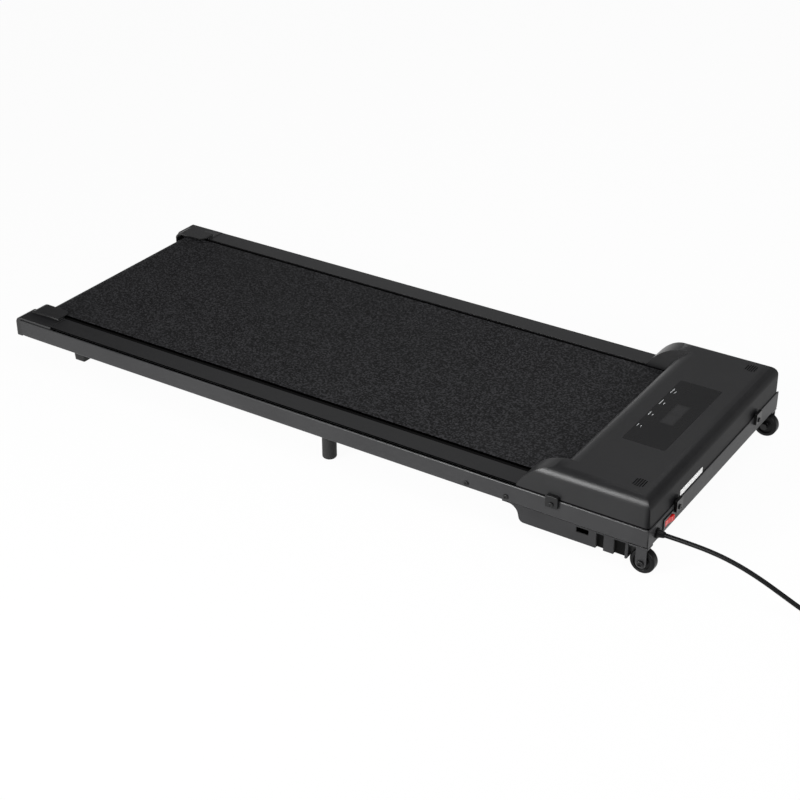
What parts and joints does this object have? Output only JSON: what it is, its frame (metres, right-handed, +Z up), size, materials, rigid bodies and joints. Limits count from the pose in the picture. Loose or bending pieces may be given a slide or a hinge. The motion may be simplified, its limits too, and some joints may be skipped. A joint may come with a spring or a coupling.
{
  "type": "walking pad",
  "caption": "Low motorised walking pad: steel side rails, endless belt round a deck, hooded motor end with control panel, transport wheels, feet and mains cord.",
  "frame": {"origin": "on the floor under the middle of the object, cord left out", "axes": "+X to the motor end, +Y to the left of a walker who faces the motor end, +Z up"},
  "size_m": [1.6351, 0.5044, 0.129],
  "materials": {
    "frame_steel": "satin powder coat",
    "hood_plastic": "fine satin grain",
    "trim_plastic": "fine matte grain",
    "belt_rubber": "embossed anti-slip grain",
    "deck_wood": "pressed board with a waxed face",
    "soft_rubber": "matte",
    "plain_steel": "zinc plated",
    "black_steel": "black zinc",
    "motor_paint": "gloss black",
    "flywheel_iron": "turned",
    "pulley_alloy": "turned",
    "drive_rubber": "ribbed",
    "board_green": "solder mask",
    "sink_alloy": "extruded",
    "capacitor_sleeve": "shrink sleeve",
    "panel_film": "smooth black film",
    "window_film": "smoked window",
    "white_film": "plain sticker",
    "switch_black": "moulded",
    "switch_red": "translucent red",
    "wheel_plastic": "moulded",
    "cord_sheath": "smooth sheath"
  },
  "bodies": {
    "frame": {"axle_brackets": "frame_steel", "blank_sticker": "white_film", "board_standoffs": "trim_plastic", "buzzer": "switch_black", "capacitors": "capacitor_sleeve", "clip_screws": "black_steel", "control_board": "board_green", "cord_coil": "cord_sheath", "cord_gland": "cord_sheath", "cord_tie": "cord_sheath", "cross_members": "frame_steel", "deck_board": "deck_wood", "deck_cushions": "soft_rubber", "deck_screws": "plain_steel", "display_board": "board_green", "display_window": "window_film", "drive_belt": "drive_rubber", "front_axle": "plain_steel", "front_beam": "frame_steel", "front_clips": "hood_plastic", "heat_sink": "sink_alloy", "hood": "hood_plastic", "left_foot_rail": "trim_plastic", "left_mid_foot": "soft_rubber", "left_rail": "frame_steel", "left_rear_cap": "trim_plastic", "left_wheel_bracket": "frame_steel", "motor_clamps": "frame_steel", "motor_housing": "motor_paint", "motor_tray": "hood_plastic", "panel_overlay": "panel_film", "plug": "cord_sheath", "power_cord": "cord_sheath", "rail_screws": "black_steel", "rear_axle": "plain_steel", "rear_feet": "soft_rubber", "rear_foot_brackets": "frame_steel", "right_foot_rail": "trim_plastic", "right_mid_foot": "soft_rubber", "right_rail": "frame_steel", "right_rear_cap": "trim_plastic", "right_wheel_bracket": "frame_steel", "side_clips": "hood_plastic", "switch_housing": "switch_black", "walking_belt": "belt_rubber", "wheel_bolts": "black_steel"},
    "left_wheel": {"left_wheel": "wheel_plastic"},
    "right_wheel": {"right_wheel": "wheel_plastic"},
    "switch_rocker": {"switch_rocker": "switch_red"},
    "front_roller": {"front_roller": "plain_steel", "front_roller_bearings": "plain_steel", "drive_pulley": "pulley_alloy"},
    "rear_roller": {"rear_roller": "plain_steel", "rear_roller_bearings": "plain_steel"},
    "motor_rotor": {"motor_rotor": "plain_steel", "motor_flywheel": "flywheel_iron", "motor_pulley": "pulley_alloy"},
    "left_tension_bolt": {"left_tension_bolt": "plain_steel"},
    "right_tension_bolt": {"right_tension_bolt": "plain_steel"}
  },
  "joints": [
    {"name": "left_wheel_spin", "type": "hinge", "parent": "frame", "child": "left_wheel", "pos_m": [0.6065, 0.233, 0.02], "axis": [0, 1, 0], "continuous": true},
    {"name": "right_wheel_spin", "type": "hinge", "parent": "frame", "child": "right_wheel", "pos_m": [0.6065, -0.233, 0.02], "axis": [0, 1, 0], "continuous": true},
    {"name": "switch_rock", "type": "hinge", "parent": "frame", "child": "switch_rocker", "pos_m": [0.6155, -0.18, 0.063], "axis": [0, 0, 1], "range_deg": [0, 16]},
    {"name": "front_roller_spin", "type": "hinge", "parent": "frame", "child": "front_roller", "pos_m": [0.457, 0, 0.0644], "axis": [0, 1, 0], "continuous": true},
    {"name": "rear_roller_spin", "type": "hinge", "parent": "frame", "child": "rear_roller", "pos_m": [-0.5845, 0, 0.0644], "axis": [0, 1, 0], "continuous": true},
    {"name": "motor_spin", "type": "hinge", "parent": "frame", "child": "motor_rotor", "pos_m": [0.54, 0.12, 0.0644], "axis": [0, 1, 0], "continuous": true},
    {"name": "left_tension_bolt_turn", "type": "hinge", "parent": "frame", "child": "left_tension_bolt", "pos_m": [-0.6, 0.225, 0.0644], "axis": [1, 0, 0], "continuous": true},
    {"name": "right_tension_bolt_turn", "type": "hinge", "parent": "frame", "child": "right_tension_bolt", "pos_m": [-0.6, -0.225, 0.0644], "axis": [1, 0, 0], "continuous": true}
  ],
  "couplings": [
    {"joint": "rear_roller_spin", "follows": "front_roller_spin", "ratio": 1},
    {"joint": "motor_spin", "follows": "front_roller_spin", "ratio": 2.4545}
  ]
}
